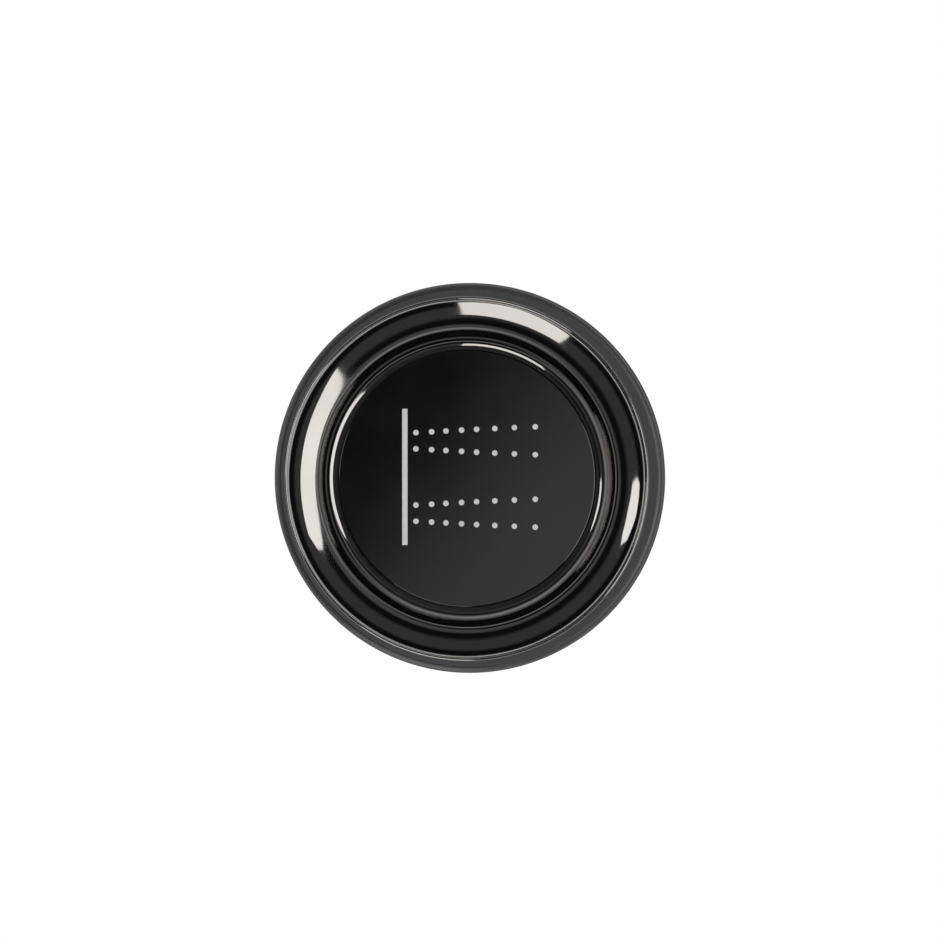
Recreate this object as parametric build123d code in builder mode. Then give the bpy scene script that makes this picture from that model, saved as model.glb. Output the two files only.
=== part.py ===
from build123d import *
import os
from math import cos, radians, sin, tan

# A wall-mounted shower push control: a push button inside a turning flow ring, on its valve cartridge.
# Sizes are millimetres. The wall's surface is the plane Y = 0 and every round piece is centred on the Y axis.
# The button looks out of the wall, towards -Y, with +Z up. A stand-off is a distance out of the wall,
# along -Y, so a negative stand-off lies inside the wall.

# Push button and its printed symbol
FACE_RADIUS = 19.7
FACE_THICKNESS = 1.3
FACE_EDGE = 0.2  # rounding of the face's front edge
FACE_DROP = 0.2  # face below the land's crest
PAD_THICKNESS = 0.4
PAD_MARGIN = 1.3  # rim of the cap outside the pad
CAP_PLATE = 1.6
SKIRT_WALL = 1.5
SKIRT_GAP = 1.8  # skirt's foot above the carrier, with the button pushed in
CAP_RIBS = 6
CAP_RIB_WIDTH = 1.2
CAP_RIB_HEIGHT = 1.5
BUTTON_TRAVEL = 3.0
PRINT_DEPTH = 0.12
BAR_LENGTH = 20.9
BAR_WIDTH = 0.82
BAR_X = -9.55
DOT_RADIUS = 0.43
DOT_FIRST_X = -7.85
DOT_GAPS = (2.4, 2.2, 2.4, 2.3, 2.8, 3.0, 3.2)  # between a row's dots, in order from the bar
JET_HEIGHT = 5.55  # each jet's centre line above or below the symbol's middle
JET_HALF_START = 1.24  # half the gap between a jet's two rows at its first and last dots
JET_HALF_END = 2.14
SYMBOL_Z = 0.25

# Turning ring: a polished dish ring with a land, a groove and a hollow slope, in a satin grip sleeve
FACE_GAP = 0.7  # open gap between the face and the dish ring
EDGE_CURVE = 1.25  # rounding of the ring's inner edge
EDGE_SLOPE = 36.0  # where that rounding meets the bore, degrees from the wall plane
LAND_CURVE = 17.5  # the land's slight crown
LAND_SLOPE = 2.0  # its outward fall at the groove, degrees
GROOVE_WIDTH = 1.02  # shadow groove between the land and the dish
GROOVE_SLOPE = 66.0  # its sides, degrees from the wall plane
LAND_DEPTH = 2.0  # land's crest down to the ledge that holds the bush
BUSH_WALL = 1.2
DISH_CURVE = 6.5
DISH_TILT = 47.5  # slope of the dish at its lip, degrees from the wall plane
LIP_BEAD = 0.2
LIP_FLANGE = 1.5  # lip's crest down to its underside, on the sleeve
LIP_INSET = 0.8  # lip's crest out from the sleeve's bore
RING_HEIGHT = 14.3  # lip's crest above the carrier
SLEEVE_MARGIN = 0.1  # sleeve's top edge outside the lip
SLEEVE_FLARE = 1.0  # how much wider the sleeve is at its foot
SLEEVE_BULGE = 0.12
SLEEVE_EDGE = 0.3
OUTER_WALL = 1.2
INNER_WALL = 1.0
CHANNEL_HEIGHT = 6.0  # depth of the dish ring's rear channel above the carrier

# Ring carrier, its screws and clips
CARRIER_DISC = 2.5
CARRIER_HUB = 1.1
HUB_WALL = 3.0
CARRIER_HOLES = 6
CARRIER_HOLE_RADIUS = 1.5
SCREW_COUNT = 3
SCREW_RADIUS = 1.0
SCREW_HEAD_RADIUS = 1.9
SCREW_GRIP = 3.0  # thread engagement in the dish ring
CAP_SCREW_GRIP = 5.4
SOCKET_ACROSS_FLATS = 1.5
SOCKET_DEPTH = 0.8
COUNTERSINK = 45.0  # degrees, head's cone to the screw's axis
CLIP_THICKNESS = 0.8
CLIP_BITE = 0.5  # depth of a clip's groove
CLIP_REACH = 1.3  # clip's width outside its shaft
CLIP_OPENING = 4.0
SPLINE_COUNT = 12
SPLINE_WIDTH = 1.2
SPLINE_HEIGHT = 0.6

# Wall flange, gasket and fixed sleeve
FLANGE_BASE = 2.0
RIM_HEIGHT = 6.0
RIM_MARGIN = 1.0  # flange outside the sleeve's foot
RIM_EDGE = 1.0
RIM_WALL = 2.8
RIM_GAP = 0.6  # open gap between the flange's rim and the sleeve
GASKET_WIDTH = 3.0
GASKET_THICKNESS = 1.2
GASKET_INSET = 2.5  # gasket in from the flange's edge
FLANGE_RING_WIRE = 1.46
FIXED_SLEEVE_PROUD = 0.7  # fixed sleeve above the flange's base
FIXED_SLEEVE_OUTER = 20.0
FIXED_SLEEVE_WALL = 3.2
FIXED_SLEEVE_COLLAR = 5.7
FIXED_SLEEVE_TAIL = 6.0
TAIL_WALL = 3.0
TAIL_LAP = 1.2
THRUST_WASHER = 0.4

# Clamp nut
THREAD_RADIUS = 14.5
THREAD_LENGTH = 10.0
HEX_ACROSS_FLATS = 32.0
HEX_LENGTH = 3.0

# Flow spindle and its stop
CUP_RADIUS = 8.0
CUP_WALL = 1.5
CUP_DEPTH = 12.0  # below the wall's surface
CUP_FLOOR = 1.4
CUP_ABOVE_CLIP = 0.85
TUBE_BORE = 3.4
TUBE_WALL = 1.8
SPINDLE_RING_WIRE = 0.91
TURN_EACH_WAY = 45.0
LUG_ANGLE = 20.0
LUG_HEIGHT = 1.7
LUG_WIDTH = 1.4
STOP_MARGIN = 3.0  # degrees of slot beyond the lug's own travel
THREAD_LEAD = 12.0  # throttle's advance in one turn of the spindle

# Cartridge housing and throttle
HOUSING_FLANGE = 3.0
HOUSING_WALL = 0.8
HOUSING_SHOULDER = 1.2  # flange outside the barrel
BARREL_BORE = 11.0
BARREL_WALL = 2.0
BARREL_RING_WIRE = 1.2
THROTTLE_LENGTH = 9.0
THROTTLE_HUB = 5.0
THROTTLE_HUB_WALL = 2.7
THROTTLE_WALL = 1.3
THROTTLE_WEB = 2.0
VENT_COUNT = 4
VENT_RADIUS = 0.5
KEY_WIDTH = 2.0
KEY_HEIGHT = 0.4
KEY_LENGTH = 4.0
WINDOW_COUNT = 6
WINDOW_WIDTH = 7.0
WINDOW_HEIGHT = 5.0
SEAT_SETBACK = 3.1  # windows' rear edge to the valve seat

# Push rod, latch and spring
ROD_RADIUS = 2.0
ROD_STUB = 1.5
GUIDE_TUBE_WALL = 1.15
GUIDE_WALL = 1.4
GUIDE_FLOOR = 1.4
GUIDE_BELOW_CUP = 0.9
COVER_THICKNESS = 0.7
RIB_COUNT = 4
RIB_WIDTH = 2.4
RIB_HEIGHT = 1.0
RIB_LENGTH = 4.3
LATCH_LUG_WIDTH = 2.6
PUSHER_LENGTH = 2.5
ROTOR_LENGTH = 4.3
LATCH_BACKLASH = 0.1
SPRING_WIRE = 0.8
SPRING_TURNS = 5
BOSS_WALL = 2.5
BOSS_LENGTH = 3.8
BOSS_WEB = 0.4  # closed end of the boss, in front of the rod
ROD_RING_WIRE = 0.56

# Valve seat, poppet and inlet nose
SEAT_THICKNESS = 3.0
SEAT_LEDGE = 0.6  # step in the barrel that the seat bears on
SEAT_HUB_STOP = 2.0  # tube's end above the seat's rear face
SEAT_HUB_WALL = 1.8
SEAT_HUB_LENGTH = 8.0
SEAT_OPENING = 7.0
SEAT_ARMS = 3
SEAT_ARM_WIDTH = 2.0
SEAT_BEAD = 0.6
SEAT_BEAD_INSET = 0.3
SEAL_THICKNESS = 0.8
SEAL_LAP = 0.5  # seal beyond the bead on each side
POPPET_THICKNESS = 2.5
POPPET_RIM = 0.2
POPPET_NUT_LENGTH = 1.5
POPPET_NUT_FLATS = 5.0
NOSE_RADIUS = 8.0
NOSE_BORE = 6.0
NOSE_LENGTH = 8.0
NOSE_FLANGE = 2.0
NOSE_SLEEVE_WALL = 1.0
NOSE_RING_WIRE = 1.0
POPPET_ROOM = 4.0  # free depth behind the poppet's nut, with the button out
STRAINER_THICKNESS = 0.8
STRAINER_HOLE = 0.45
STRAINER_PITCH = 1.5
STRAINER_RINGS = 3

# Clearances
RUNNING = 0.05  # radial, shaft in bore
CAP_RUNNING = 0.08  # radial, cap in its bush
SLIDING = 0.1
FREE = 0.3  # between neighbours that never meet
LOOSE = 0.2
SEAL_FIT = 0.02  # each side of an O-ring
AXIAL_PLAY = 0.1

# Directions round the axis, in degrees
UP = 90.0
DOWN = 270.0

PROFILE = Plane(origin=(0, 0, 0), x_dir=(1, 0, 0), z_dir=(0, 0, -1))  # radius across, stand-off up


def facing(stand_off):
    """The plane parallel to the wall at this stand-off, looking out of it."""
    return Plane.XZ.offset(stand_off)


def band(inner, outer, low, high, mode=Mode.ADD):
    """Half section of a plain ring, from inner to outer radius and from low to high stand-off."""
    with Locations(((inner + outer) / 2, (low + high) / 2)):
        Rectangle(outer - inner, high - low, mode=mode)


def round_ring(inner, wire, middle):
    """Half section of an O-ring on a groove floor of this radius, at this stand-off."""
    with Locations((inner + SEAL_FIT + wire / 2, middle)):
        Circle(wire / 2)


def ring_groove(floor, outer, wire, middle):
    """Half section cut away for an O-ring of this wire, in a shaft of this outer radius."""
    band(floor, outer, middle - wire / 2 - LOOSE, middle + wire / 2 + LOOSE, mode=Mode.SUBTRACT)


def spokes(inner, outer, width, count, first_angle=0.0, mode=Mode.ADD):
    """Bars from inner to outer radius, spaced evenly round the axis."""
    with PolarLocations((inner + outer) / 2, count, start_angle=first_angle):
        Rectangle(outer - inner, width, mode=mode)


# Stand-offs of the front, from the wall outwards
fixed_sleeve_front = FLANGE_BASE + FIXED_SLEEVE_PROUD
washer_front = fixed_sleeve_front + THRUST_WASHER
carrier_rear = washer_front + AXIAL_PLAY
carrier_front = carrier_rear + CARRIER_DISC
hub_front = carrier_front + CARRIER_HUB
clip_front = hub_front + RUNNING + CLIP_THICKNESS
cup_front = clip_front + CUP_ABOVE_CLIP
guide_front = cup_front - GUIDE_BELOW_CUP
lip_crest = carrier_front + RING_HEIGHT
lip_middle = lip_crest - LIP_BEAD
dish_tilt = radians(DISH_TILT)
land_slope = radians(LAND_SLOPE)
dish_floor = lip_middle + (DISH_CURVE + LIP_BEAD) * cos(dish_tilt) - DISH_CURVE
land_crest = dish_floor + LAND_CURVE * (1 - cos(land_slope))
groove_bottom = dish_floor - GROOVE_WIDTH / 2 * tan(radians(GROOVE_SLOPE))
bush_front = land_crest - LAND_DEPTH
ring_foot = RIM_HEIGHT + RIM_GAP
face_front = land_crest - FACE_DROP
face_rear = face_front - FACE_THICKNESS
plate_rear = face_rear - CAP_PLATE
skirt_foot = carrier_front + BUTTON_TRAVEL + SKIRT_GAP

# Radii of the front, from the button outwards
edge_slope = radians(EDGE_SLOPE)
ring_bore = FACE_RADIUS + FACE_GAP
crest_radius = ring_bore + EDGE_CURVE * sin(edge_slope)
bush_bore = FACE_RADIUS + CAP_RUNNING
bush_outer = bush_bore + BUSH_WALL
land_end = crest_radius + LAND_CURVE * sin(land_slope)
floor_radius = land_end + GROOVE_WIDTH
lip_radius = floor_radius + (DISH_CURVE + LIP_BEAD) * sin(dish_tilt)
sleeve_bore = lip_radius - LIP_INSET
sleeve_top_radius = lip_radius + LIP_BEAD + SLEEVE_MARGIN
sleeve_foot_radius = sleeve_top_radius + SLEEVE_FLARE
sleeve_top = lip_crest - LIP_FLANGE
channel_inner = bush_outer + INNER_WALL
channel_outer = sleeve_bore - OUTER_WALL
channel_top = carrier_front + CHANNEL_HEIGHT
rim_inner = channel_inner + SLIDING
rim_outer = channel_outer - SLIDING
screw_circle = (rim_inner + rim_outer) / 2
carrier_radius = sleeve_bore - LOOSE
flange_radius = sleeve_foot_radius + RIM_MARGIN
flange_bore = FIXED_SLEEVE_OUTER + LOOSE

# Flow spindle
cup_outer = CUP_RADIUS + CUP_WALL
cup_rear = -CUP_DEPTH
tube_outer = TUBE_BORE + TUBE_WALL
spline_outer = cup_outer + SPLINE_HEIGHT
hub_bore = cup_outer + RUNNING
hub_outer = hub_bore + HUB_WALL

# Stand-offs inside the wall, from the fixed sleeve inwards
sleeve_step = fixed_sleeve_front - FIXED_SLEEVE_COLLAR
sleeve_rear = sleeve_step - FIXED_SLEEVE_TAIL
hex_rear = sleeve_rear - HEX_LENGTH
nut_rear = hex_rear - THREAD_LENGTH
nut_bore = cup_outer + FREE
neck_front = cup_rear - FREE
neck_radius = nut_bore - LOOSE
barrel_front = nut_rear - HOUSING_FLANGE
throttle_ceiling = barrel_front - HOUSING_WALL
barrel_radius = BARREL_BORE + BARREL_WALL
throttle_travel = THREAD_LEAD * TURN_EACH_WAY / 360
spindle_clip_rear = throttle_ceiling - AXIAL_PLAY - CLIP_THICKNESS
throttle_front = spindle_clip_rear - throttle_travel - FREE
throttle_rear = throttle_front - THROTTLE_LENGTH
spindle_rear = throttle_front - THROTTLE_HUB - throttle_travel - FREE
window_rear = throttle_rear - WINDOW_HEIGHT / 2
front_ring_middle = throttle_ceiling - BARREL_RING_WIRE - LOOSE
rear_ring_middle = window_rear - BARREL_RING_WIRE - 2 * LOOSE
seat_radius = BARREL_BORE + SEAT_LEDGE
seat_front = window_rear - SEAT_SETBACK
seat_rear = seat_front - SEAT_THICKNESS
seat_hub_front = seat_rear + SEAT_HUB_LENGTH
guide_tube_rear = seat_rear + SEAT_HUB_STOP
bead_rear = seat_rear - SEAT_BEAD
bead_inner = SEAT_OPENING + SEAT_BEAD_INSET
bead_outer = bead_inner + SEAT_BEAD
seal_outer = bead_outer + SEAL_LAP
seal_front = bead_rear - AXIAL_PLAY
poppet_front = seal_front - SEAL_THICKNESS
poppet_rear = poppet_front - POPPET_THICKNESS
rod_rear = poppet_rear - POPPET_NUT_LENGTH
barrel_rear = rod_rear - BUTTON_TRAVEL - POPPET_ROOM
nose_shoulder = barrel_rear - NOSE_FLANGE
nose_rear = nose_shoulder - NOSE_LENGTH

# Push rod and latch
rod_front = plate_rear - BOSS_WEB
boss_foot = plate_rear - BOSS_LENGTH
guide_tube_bore = ROD_RADIUS + RUNNING
guide_tube_outer = guide_tube_bore + GUIDE_TUBE_WALL
guide_outer = CUP_RADIUS - FREE
guide_bore = guide_outer - GUIDE_WALL
guide_rear = cup_rear + CUP_FLOOR + FREE
guide_floor = guide_rear + GUIDE_FLOOR
cover_rear = guide_front - COVER_THICKNESS
rib_inner = guide_bore - RIB_HEIGHT
pusher_front = cover_rear - FREE
pusher_rear = pusher_front - PUSHER_LENGTH
rotor_front = pusher_rear - LATCH_BACKLASH
rotor_rear = rotor_front - ROTOR_LENGTH
latch_ring_outer = rib_inner - LOOSE
latch_lug_outer = guide_bore - LOOSE

os.makedirs("parts", exist_ok=True)


# ---- Wall side: everything that stays still ----

# Wall flange: a shallow tray with a rounded rim, hollowed behind for its gasket
gasket_outer = flange_radius - GASKET_INSET
gasket_inner = gasket_outer - GASKET_WIDTH
with BuildPart() as wall_flange:
    with BuildSketch(PROFILE):
        band(flange_bore, flange_radius, 0, FLANGE_BASE)
        band(flange_radius - RIM_WALL, flange_radius, 0, RIM_HEIGHT)
        band(gasket_inner, gasket_outer, 0, GASKET_THICKNESS, mode=Mode.SUBTRACT)
    revolve(axis=Axis.Y)
    outer_edges = wall_flange.edges().filter_by(GeomType.CIRCLE).group_by(SortBy.RADIUS)[-1]
    fillet(outer_edges.sort_by(Axis.Y)[0], radius=RIM_EDGE)
wall_flange.part.label = "wall_flange"
export_step(wall_flange.part, "parts/wall_flange.step")

with BuildPart() as wall_gasket:
    with BuildSketch(PROFILE):
        band(gasket_inner, gasket_outer, 0, GASKET_THICKNESS)
    revolve(axis=Axis.Y)
wall_gasket.part.label = "wall_gasket"
export_step(wall_gasket.part, "parts/wall_gasket.step")

# Fixed sleeve: a collar that the flange slides onto, and a tail screwed onto the clamp nut
flange_ring_middle = FLANGE_BASE / 2
flange_ring_floor = flange_bore - FLANGE_RING_WIRE - 2 * SEAL_FIT
with BuildPart() as fixed_sleeve:
    with BuildSketch(PROFILE):
        band(FIXED_SLEEVE_OUTER - FIXED_SLEEVE_WALL, FIXED_SLEEVE_OUTER, sleeve_step, fixed_sleeve_front)
        band(THREAD_RADIUS, THREAD_RADIUS + TAIL_WALL, sleeve_rear, sleeve_step + TAIL_LAP)
        ring_groove(flange_ring_floor, FIXED_SLEEVE_OUTER, FLANGE_RING_WIRE, flange_ring_middle)
    revolve(axis=Axis.Y)
fixed_sleeve.part.label = "fixed_sleeve"
export_step(fixed_sleeve.part, "parts/fixed_sleeve.step")

with BuildPart() as flange_o_ring:
    with BuildSketch(PROFILE):
        round_ring(flange_ring_floor, FLANGE_RING_WIRE, flange_ring_middle)
    revolve(axis=Axis.Y)
flange_o_ring.part.label = "flange_o_ring"
export_step(flange_o_ring.part, "parts/flange_o_ring.step")

with BuildPart() as thrust_washer:
    with BuildSketch(PROFILE):
        band(FIXED_SLEEVE_OUTER - FIXED_SLEEVE_WALL, FIXED_SLEEVE_OUTER, fixed_sleeve_front, washer_front)
    revolve(axis=Axis.Y)
thrust_washer.part.label = "thrust_washer"
export_step(thrust_washer.part, "parts/thrust_washer.step")

# Clamp nut: its rear thread goes into the valve body and its front thread carries the fixed sleeve
with BuildPart() as clamp_nut:
    with BuildSketch(PROFILE):
        band(nut_bore, THREAD_RADIUS, nut_rear, sleeve_step)
    revolve(axis=Axis.Y)
    with BuildSketch(facing(hex_rear)):
        RegularPolygon(HEX_ACROSS_FLATS / 2, 6, major_radius=False)
        Circle(nut_bore, mode=Mode.SUBTRACT)
    extrude(amount=HEX_LENGTH)
clamp_nut.part.label = "clamp_nut"
export_step(clamp_nut.part, "parts/clamp_nut.step")

# Cartridge housing: a neck inside the nut, a clamped flange and a barrel with outlet windows
neck_bore = tube_outer + RUNNING
barrel_ring_floor = barrel_radius - BARREL_RING_WIRE - 2 * SEAL_FIT
lug_middle = (cup_outer + tube_outer) / 2
slot_depth = LUG_HEIGHT
slot_sweep = 2 * TURN_EACH_WAY + LUG_ANGLE + 2 * STOP_MARGIN
slot_line = CenterArc((0, 0), lug_middle, UP - slot_sweep / 2, slot_sweep)
with BuildPart() as cartridge_housing:
    with BuildSketch(PROFILE):
        band(neck_bore, neck_radius, nut_rear, neck_front)
        band(neck_bore, barrel_radius + HOUSING_SHOULDER, barrel_front, nut_rear)
        band(neck_bore, barrel_radius, throttle_ceiling, barrel_front)
        band(BARREL_BORE, barrel_radius, seat_front, throttle_ceiling)
        band(seat_radius, barrel_radius, barrel_rear, seat_front)
        ring_groove(barrel_ring_floor, barrel_radius, BARREL_RING_WIRE, front_ring_middle)
        ring_groove(barrel_ring_floor, barrel_radius, BARREL_RING_WIRE, rear_ring_middle)
    revolve(axis=Axis.Y)
    # arc slot in the neck's face, where the spindle's lug turns between its stops
    with BuildSketch(facing(neck_front)):
        SlotArc(slot_line, LUG_WIDTH + 2 * FREE)
    extrude(amount=-slot_depth, mode=Mode.SUBTRACT)
    # keyways for the throttle's two keys
    with BuildSketch(facing(throttle_ceiling)):
        spokes(BARREL_BORE - KEY_HEIGHT, BARREL_BORE + KEY_HEIGHT + SLIDING, KEY_WIDTH + 2 * SLIDING, 2)
    extrude(amount=throttle_rear - throttle_ceiling, mode=Mode.SUBTRACT)
    # outlet windows, half covered by the throttle at mid turn
    with BuildSketch(facing(window_rear)):
        window_outer = barrel_radius + FREE
        spokes(BARREL_BORE - BARREL_WALL, window_outer, WINDOW_WIDTH, WINDOW_COUNT, 180 / WINDOW_COUNT)
    extrude(amount=WINDOW_HEIGHT, mode=Mode.SUBTRACT)
cartridge_housing.part.label = "cartridge_housing"
export_step(cartridge_housing.part, "parts/cartridge_housing.step")

with BuildPart() as housing_o_rings:
    with BuildSketch(PROFILE):
        round_ring(barrel_ring_floor, BARREL_RING_WIRE, front_ring_middle)
        round_ring(barrel_ring_floor, BARREL_RING_WIRE, rear_ring_middle)
    revolve(axis=Axis.Y)
housing_o_rings.part.label = "housing_o_rings"
export_step(housing_o_rings.part, "parts/housing_o_rings.step")

# Valve seat: a ring with a raised bead behind, and a hub on three arms that holds the guide tube
with BuildPart() as valve_seat:
    with BuildSketch(PROFILE):
        band(SEAT_OPENING, seat_radius, seat_rear, seat_front)
        band(bead_inner, bead_outer, bead_rear, seat_rear)
        band(guide_tube_bore, guide_tube_outer + SEAT_HUB_WALL, seat_rear, seat_hub_front)
        band(guide_tube_bore, guide_tube_outer, guide_tube_rear, seat_hub_front, mode=Mode.SUBTRACT)
    revolve(axis=Axis.Y)
    with BuildSketch(facing(seat_rear)):
        spokes(guide_tube_outer + SLIDING, SEAT_OPENING + LOOSE, SEAT_ARM_WIDTH, SEAT_ARMS, UP)
    extrude(amount=SEAT_THICKNESS)
valve_seat.part.label = "valve_seat"
export_step(valve_seat.part, "parts/valve_seat.step")

# Inlet nose: closes the barrel, holds the seat on its ledge and carries the inlet spigot
nose_ring_floor = NOSE_RADIUS - NOSE_RING_WIRE - 2 * SEAL_FIT
nose_ring_middle = (nose_rear + nose_shoulder) / 2
with BuildPart() as inlet_nose:
    with BuildSketch(PROFILE):
        band(seat_radius - NOSE_SLEEVE_WALL, seat_radius, barrel_rear, seat_rear)
        band(NOSE_BORE, barrel_radius, nose_shoulder, barrel_rear)
        band(NOSE_BORE, NOSE_RADIUS, nose_rear, nose_shoulder)
        ring_groove(nose_ring_floor, NOSE_RADIUS, NOSE_RING_WIRE, nose_ring_middle)
    revolve(axis=Axis.Y)
inlet_nose.part.label = "inlet_nose"
export_step(inlet_nose.part, "parts/inlet_nose.step")

with BuildPart() as nose_o_ring:
    with BuildSketch(PROFILE):
        round_ring(nose_ring_floor, NOSE_RING_WIRE, nose_ring_middle)
    revolve(axis=Axis.Y)
nose_o_ring.part.label = "nose_o_ring"
export_step(nose_o_ring.part, "parts/nose_o_ring.step")

# Inlet strainer: a disc with rings of fine holes, pressed into the nose's bore
with BuildPart() as inlet_strainer:
    with BuildSketch(facing(nose_shoulder)):
        Circle(NOSE_BORE)
        Circle(STRAINER_HOLE, mode=Mode.SUBTRACT)
        for ring in range(1, STRAINER_RINGS + 1):
            with PolarLocations(ring * STRAINER_PITCH, 6 * ring):
                Circle(STRAINER_HOLE, mode=Mode.SUBTRACT)
    extrude(amount=STRAINER_THICKNESS)
inlet_strainer.part.label = "inlet_strainer"
export_step(inlet_strainer.part, "parts/inlet_strainer.step")

# Guide tube: joins the seat's hub to the latch guide through the turning spindle
with BuildPart() as guide_tube:
    with BuildSketch(PROFILE):
        band(guide_tube_bore, guide_tube_outer, guide_tube_rear, guide_floor)
    revolve(axis=Axis.Y)
guide_tube.part.label = "guide_tube"
export_step(guide_tube.part, "parts/guide_tube.step")

# Latch guide: a cup pressed on the tube, with ribs that stop the button from turning
with BuildPart() as latch_guide:
    with BuildSketch(PROFILE):
        band(guide_bore, guide_outer, guide_rear, guide_front)
        band(guide_tube_outer, guide_outer, guide_rear, guide_floor)
    revolve(axis=Axis.Y)
    with BuildSketch(facing(cover_rear - RIB_LENGTH)):
        spokes(rib_inner, guide_bore + LOOSE, RIB_WIDTH, RIB_COUNT, 180 / RIB_COUNT)
    extrude(amount=RIB_LENGTH)
latch_guide.part.label = "latch_guide"
export_step(latch_guide.part, "parts/latch_guide.step")

with BuildPart() as guide_cover:
    with BuildSketch(PROFILE):
        band(ROD_RADIUS + 2 * LOOSE, guide_bore, cover_rear, guide_front)
    revolve(axis=Axis.Y)
guide_cover.part.label = "guide_cover"
export_step(guide_cover.part, "parts/guide_cover.step")


# ---- Flow ring: everything that turns with the grip ----

# Dish ring: a flat land round the button, a shadow groove and a hollow slope up to a fine lip
with BuildPart() as dish_ring:
    with BuildSketch(PROFILE):
        with BuildLine():
            edge = CenterArc((crest_radius, land_crest - EDGE_CURVE), EDGE_CURVE, 90, EDGE_SLOPE)
            land = CenterArc((crest_radius, land_crest - LAND_CURVE), LAND_CURVE, 90, -LAND_SLOPE)
            slope = CenterArc((floor_radius, dish_floor + DISH_CURVE), DISH_CURVE, 270, DISH_TILT)
            Polyline(land @ 1, (land_end + GROOVE_WIDTH / 2, groove_bottom), slope @ 0)
            lip = CenterArc((lip_radius, lip_middle), LIP_BEAD, 0, 90 + DISH_TILT)
            Polyline(
                lip @ 0,
                (lip_radius + LIP_BEAD, sleeve_top),
                (sleeve_bore, sleeve_top),
                (sleeve_bore, ring_foot),
                (channel_outer, ring_foot),
                (channel_outer, channel_top),
                (channel_inner, channel_top),
                (channel_inner, carrier_front),
                (bush_outer, carrier_front),
                (bush_outer, bush_front),
                (ring_bore, bush_front),
                edge @ 1,
            )
        make_face()
    revolve(axis=Axis.Y)
    with BuildSketch(facing(channel_top)):
        with PolarLocations(screw_circle, SCREW_COUNT, start_angle=UP):
            Circle(SCREW_RADIUS)
    extrude(amount=SCREW_GRIP + LOOSE, mode=Mode.SUBTRACT)
dish_ring.part.label = "dish_ring"
export_step(dish_ring.part, "parts/dish_ring.step")

# Grip sleeve: slightly barrelled, flared at its foot, pressed on under the dish ring's lip
with BuildPart() as grip_sleeve:
    with BuildSketch(PROFILE):
        with BuildLine():
            foot = (sleeve_foot_radius, ring_foot)
            waist = (sleeve_foot_radius + sleeve_top_radius) / 2 + SLEEVE_BULGE
            middle = (waist, (ring_foot + sleeve_top) / 2)
            top = (sleeve_top_radius, sleeve_top)
            ThreePointArc(foot, middle, top)
            Polyline(top, (sleeve_bore, sleeve_top), (sleeve_bore, ring_foot), foot)
        make_face()
    revolve(axis=Axis.Y)
    sleeve_edges = grip_sleeve.edges().filter_by(GeomType.CIRCLE).group_by(SortBy.RADIUS)
    fillet(sleeve_edges[-1] + sleeve_edges[-2], radius=SLEEVE_EDGE)
grip_sleeve.part.label = "grip_sleeve"
export_step(grip_sleeve.part, "parts/grip_sleeve.step")

with BuildPart() as guide_bush:
    with BuildSketch(PROFILE):
        band(bush_bore, bush_outer, carrier_front, bush_front)
    revolve(axis=Axis.Y)
guide_bush.part.label = "guide_bush"
export_step(guide_bush.part, "parts/guide_bush.step")

# Ring carrier: a splined disc whose rim enters the dish ring's channel, drained by round holes
screw_taper = SCREW_HEAD_RADIUS - SCREW_RADIUS
drain_circle = (hub_outer + FIXED_SLEEVE_OUTER - FIXED_SLEEVE_WALL) / 2
with BuildPart() as ring_carrier:
    with BuildSketch(PROFILE):
        band(hub_bore, carrier_radius, carrier_rear, carrier_front)
        band(hub_bore, hub_outer, carrier_front, hub_front)
        band(rim_inner, rim_outer, carrier_front, channel_top)
    revolve(axis=Axis.Y)
    with BuildSketch(facing(carrier_rear)):
        with PolarLocations(drain_circle, CARRIER_HOLES):
            Circle(CARRIER_HOLE_RADIUS)
        spokes(cup_outer - CLIP_BITE, spline_outer + RUNNING, SPLINE_WIDTH + 2 * RUNNING, SPLINE_COUNT)
    extrude(amount=hub_front - carrier_rear, mode=Mode.SUBTRACT)
    with BuildSketch(facing(carrier_rear)):
        with PolarLocations(screw_circle, SCREW_COUNT, start_angle=UP):
            Circle(SCREW_HEAD_RADIUS + RUNNING)
    extrude(amount=screw_taper, taper=COUNTERSINK, mode=Mode.SUBTRACT)
    with BuildSketch(facing(carrier_rear)):
        with PolarLocations(screw_circle, SCREW_COUNT, start_angle=UP):
            Circle(SCREW_RADIUS + RUNNING)
    extrude(amount=channel_top - carrier_rear, mode=Mode.SUBTRACT)
ring_carrier.part.label = "ring_carrier"
export_step(ring_carrier.part, "parts/ring_carrier.step")

# Three countersunk screws, driven from behind the carrier into the dish ring
with BuildPart() as ring_screws:
    with BuildSketch(facing(carrier_rear)):
        with PolarLocations(screw_circle, SCREW_COUNT, start_angle=UP):
            Circle(SCREW_HEAD_RADIUS)
    extrude(amount=screw_taper, taper=COUNTERSINK)
    with BuildSketch(facing(carrier_rear + screw_taper)):
        with PolarLocations(screw_circle, SCREW_COUNT, start_angle=UP):
            Circle(SCREW_RADIUS)
    extrude(amount=channel_top + SCREW_GRIP - carrier_rear - screw_taper)
    with BuildSketch(facing(carrier_rear)):
        with PolarLocations(screw_circle, SCREW_COUNT, start_angle=UP):
            RegularPolygon(SOCKET_ACROSS_FLATS / 2, 6, major_radius=False)
    extrude(amount=SOCKET_DEPTH, mode=Mode.SUBTRACT)
ring_screws.part.label = "ring_screws"
export_step(ring_screws.part, "parts/ring_screws.step")

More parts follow.
